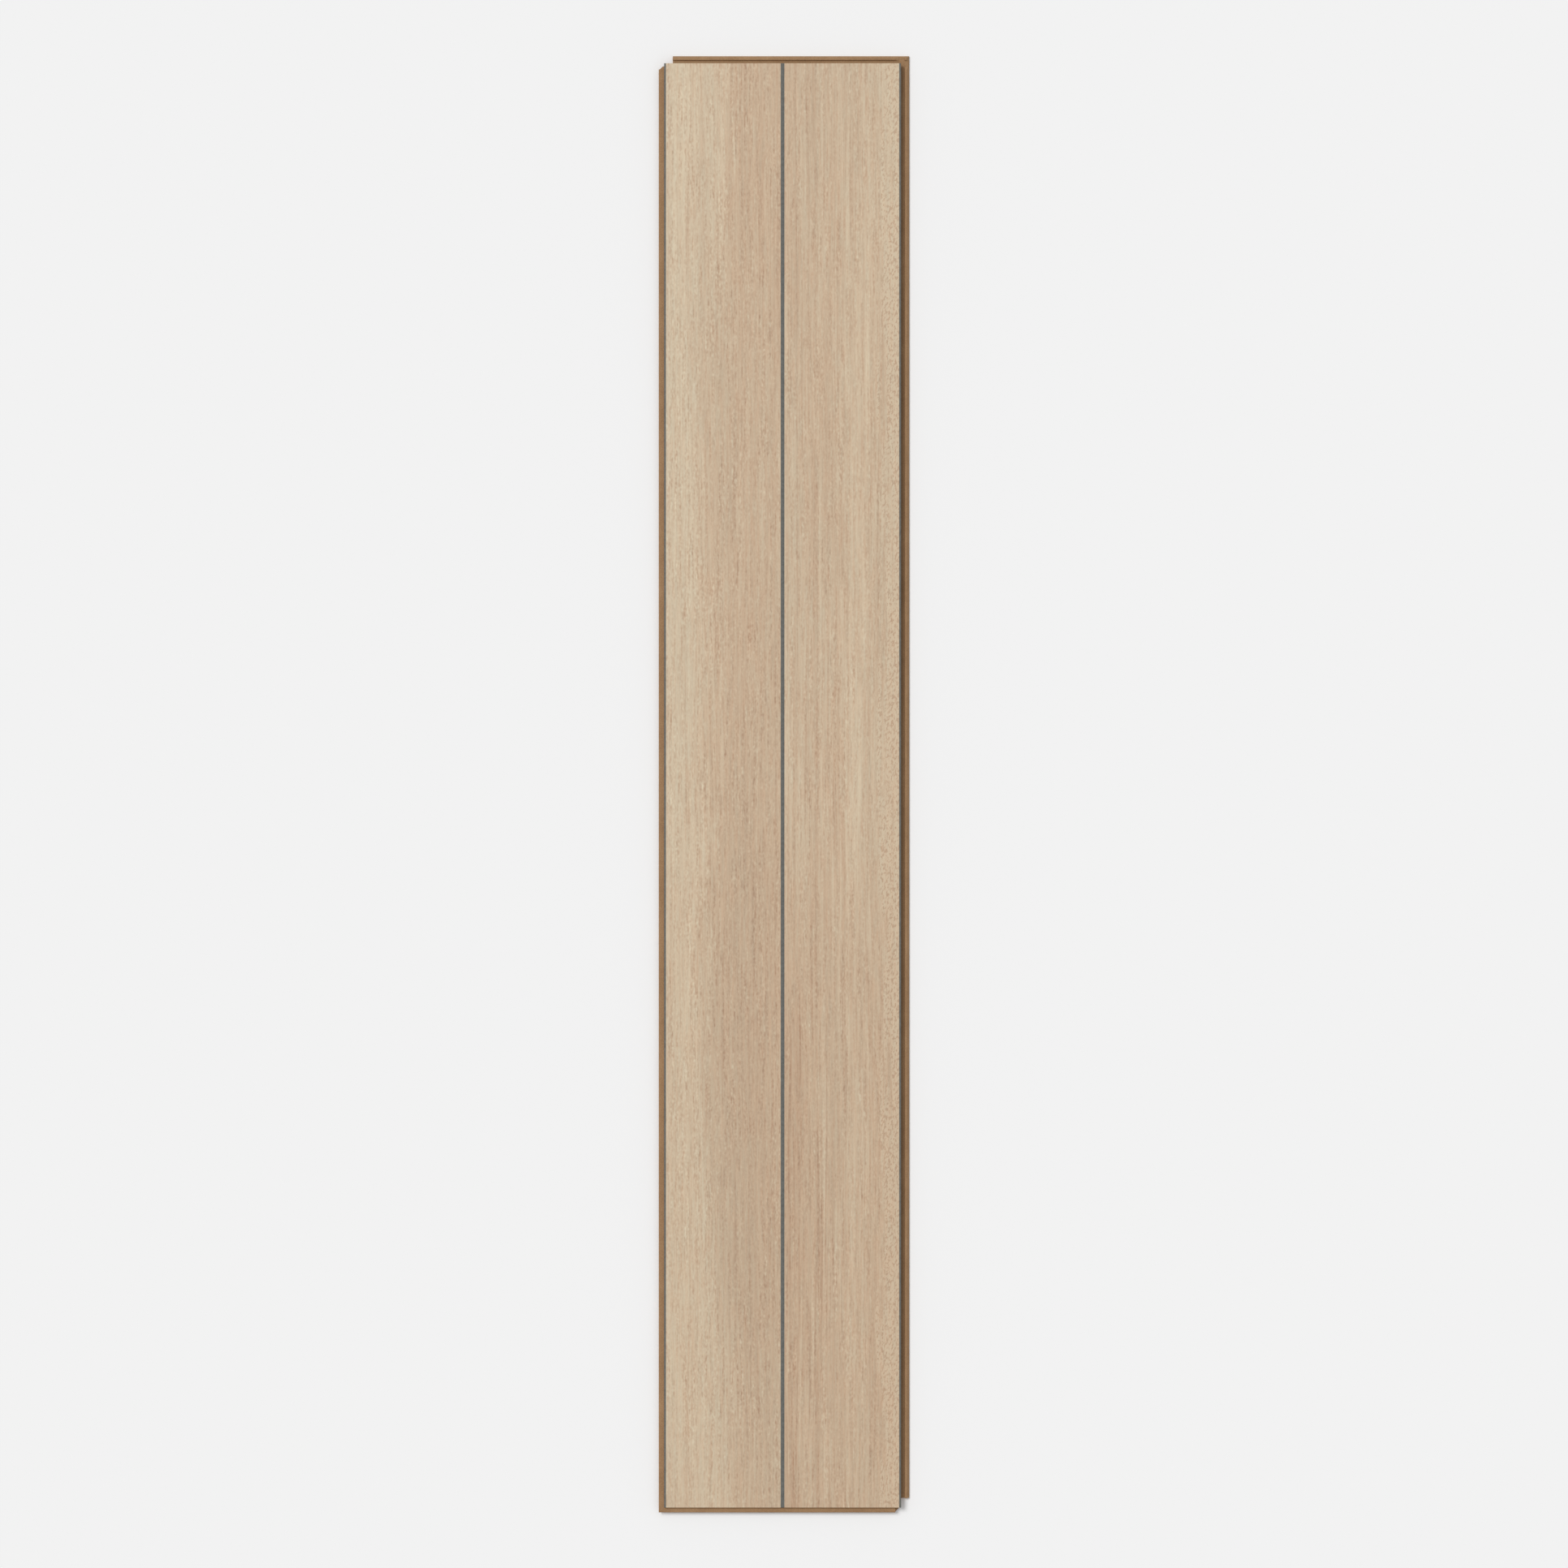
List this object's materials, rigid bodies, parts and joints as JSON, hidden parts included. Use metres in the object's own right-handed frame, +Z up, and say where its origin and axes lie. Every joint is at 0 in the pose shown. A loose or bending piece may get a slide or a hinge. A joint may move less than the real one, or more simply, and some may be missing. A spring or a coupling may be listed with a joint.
{
  "type": "laminate floor plank",
  "caption": "Deck-pattern laminate floor plank: flat rectangular board with printed pale wood strips and dark seam lines, and click tongue-and-groove edges that lock planks into a floor.",
  "frame": {"origin": "on the underside, below the middle of the laid face", "axes": "+X across the width, from the long tongue towards the long groove; +Y along the length, from the end tongue towards the end groove; +Z up, out of the printed face"},
  "size_m": [0.2096, 1.2186, 0.008],
  "materials": {
    "laminate": "satin"
  },
  "bodies": {
    "root": {"plank": "laminate"}
  },
  "joints": []
}
